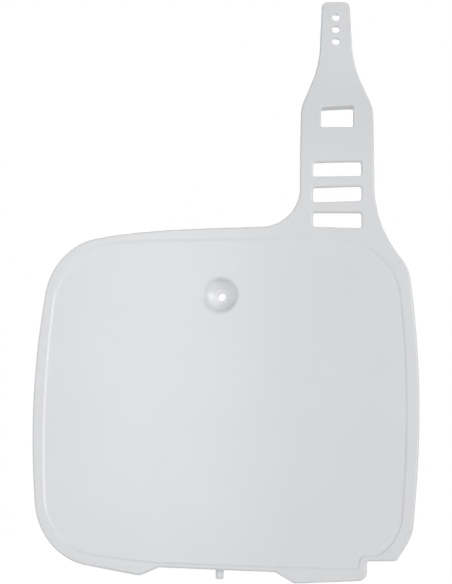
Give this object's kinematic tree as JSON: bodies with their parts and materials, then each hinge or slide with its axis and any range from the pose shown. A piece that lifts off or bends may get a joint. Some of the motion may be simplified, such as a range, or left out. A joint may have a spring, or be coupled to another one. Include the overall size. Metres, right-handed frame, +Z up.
{
  "type": "racing number board",
  "caption": "Bowed white number board with a slotted strap, a deep bolt recess and a locating peg.",
  "frame": {"origin": "centre of the bolt hole, on the rear face of its boss", "axes": "+X to the right seen from the front, the front faces -Y, +Z up towards the strap"},
  "size_m": [0.2818, 0.0237, 0.4346],
  "materials": {
    "white_plastic": "soft gloss"
  },
  "bodies": {
    "root": {"number_board": "white_plastic"}
  },
  "joints": []
}
